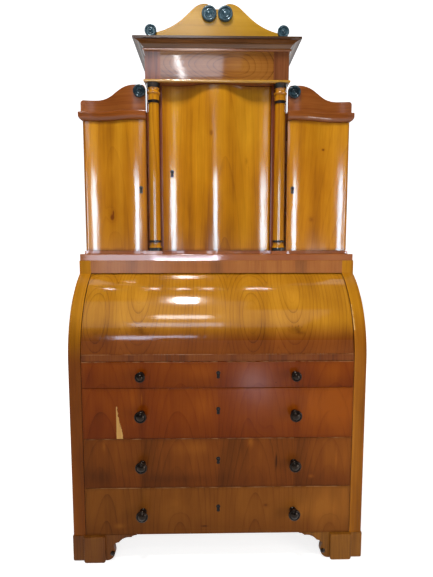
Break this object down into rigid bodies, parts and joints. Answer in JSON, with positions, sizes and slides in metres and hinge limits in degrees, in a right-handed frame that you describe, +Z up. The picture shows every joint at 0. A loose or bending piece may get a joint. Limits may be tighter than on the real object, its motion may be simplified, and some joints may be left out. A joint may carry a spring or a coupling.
{
  "type": "cylinder bureau bookcase",
  "caption": "Polished cherry cylinder bureau with drawers, a pull-out writing slide that rolls the cylinder back, and a bookcase top with serpentine doors between columns.",
  "frame": {"origin": "on the floor under the middle of the piece, knobs included", "axes": "+X to the right as seen from the front, +Y to the back, +Z up"},
  "size_m": [1.106, 0.645, 2.1262],
  "materials": {
    "cherry": "polished cherry veneer",
    "cherry_gold": "polished figured cherry veneer",
    "ebonised": "ebonised and polished",
    "spruce": "plain unpolished softwood",
    "steel": "dull steel",
    "iron": "wrought iron",
    "brass": "worn brass",
    "leather": "green writing leather"
  },
  "bodies": {
    "case": {"back_feet": "spruce", "bead_mouldings": "cherry", "bottom_board": "spruce", "bureau_top": "cherry", "column_rings": "ebonised", "column_shafts": "cherry", "cornice": "cherry", "cylinder_pivots": "iron", "desk_bed": "cherry", "door_pins": "brass", "drawer_guides": "spruce", "dust_boards": "spruce", "entablature_boards": "spruce", "entablature_panels": "cherry", "frieze_rail": "cherry", "front_feet": "cherry", "front_stiles": "cherry", "lower_back": "spruce", "lower_sides": "cherry", "pediment": "cherry", "pigeonhole_case": "cherry", "pilasters": "cherry", "roundels": "ebonised", "shelves": "spruce", "side_caps": "cherry", "side_crests": "cherry", "upper_backs": "spruce", "upper_deck": "cherry", "upper_uprights": "cherry"},
    "cylinder": {"cylinder_shell": "cherry_gold", "cylinder_rail": "cherry", "cylinder_arms": "spruce", "cylinder_levers": "iron"},
    "writing_slide": {"slide_front": "cherry", "slide_knobs": "ebonised", "slide_lock": "steel", "slide_frame": "spruce", "slide_brackets": "iron", "writing_board": "cherry", "writing_leather": "leather"},
    "upper_drawer": {"upper_drawer_front": "cherry", "upper_drawer_box": "spruce", "upper_drawer_knobs": "ebonised", "upper_drawer_lock": "steel"},
    "middle_drawer": {"middle_drawer_front": "cherry", "middle_drawer_box": "spruce", "middle_drawer_knobs": "ebonised", "middle_drawer_lock": "steel"},
    "lower_drawer": {"lower_drawer_front": "cherry", "lower_drawer_box": "spruce", "lower_drawer_knobs": "ebonised", "lower_drawer_lock": "steel"},
    "desk_drawer_left": {"desk_drawer_left": "cherry"},
    "desk_drawer_right": {"desk_drawer_right": "cherry"},
    "left_door": {"left_door": "cherry_gold", "left_door_lock": "steel"},
    "right_door": {"right_door": "cherry_gold", "right_door_lock": "steel"},
    "centre_door": {"centre_door": "cherry_gold", "centre_door_lock": "steel"}
  },
  "joints": [
    {"name": "slide_pull", "type": "slide", "parent": "case", "child": "writing_slide", "axis": [0, -1, 0], "range_m": [0, 0.1878]},
    {"name": "cylinder_roll", "type": "hinge", "parent": "case", "child": "cylinder", "pos_m": [0, 0.0775, 0.78], "axis": [-1, 0, 0], "range_deg": [0, 56]},
    {"name": "upper_drawer_pull", "type": "slide", "parent": "case", "child": "upper_drawer", "axis": [0, -1, 0], "range_m": [0, 0.4]},
    {"name": "middle_drawer_pull", "type": "slide", "parent": "case", "child": "middle_drawer", "axis": [0, -1, 0], "range_m": [0, 0.4]},
    {"name": "lower_drawer_pull", "type": "slide", "parent": "case", "child": "lower_drawer", "axis": [0, -1, 0], "range_m": [0, 0.4]},
    {"name": "desk_drawer_left_pull", "type": "slide", "parent": "case", "child": "desk_drawer_left", "axis": [0, -1, 0], "range_m": [0, 0.12]},
    {"name": "desk_drawer_right_pull", "type": "slide", "parent": "case", "child": "desk_drawer_right", "axis": [0, -1, 0], "range_m": [0, 0.12]},
    {"name": "left_door_swing", "type": "hinge", "parent": "case", "child": "left_door", "pos_m": [-0.527, -0.02325, 1.1832], "axis": [0, 0, -1], "range_deg": [0, 105]},
    {"name": "right_door_swing", "type": "hinge", "parent": "case", "child": "right_door", "pos_m": [0.527, -0.02325, 1.1832], "axis": [0, 0, 1], "range_deg": [0, 105]},
    {"name": "centre_door_swing", "type": "hinge", "parent": "case", "child": "centre_door", "pos_m": [0.2078, -0.02304, 1.1832], "axis": [0, 0, 1], "range_deg": [0, 92]}
  ],
  "couplings": [
    {"joint": "cylinder_roll", "follows": "slide_pull", "rad_per_m": 5.2043}
  ]
}
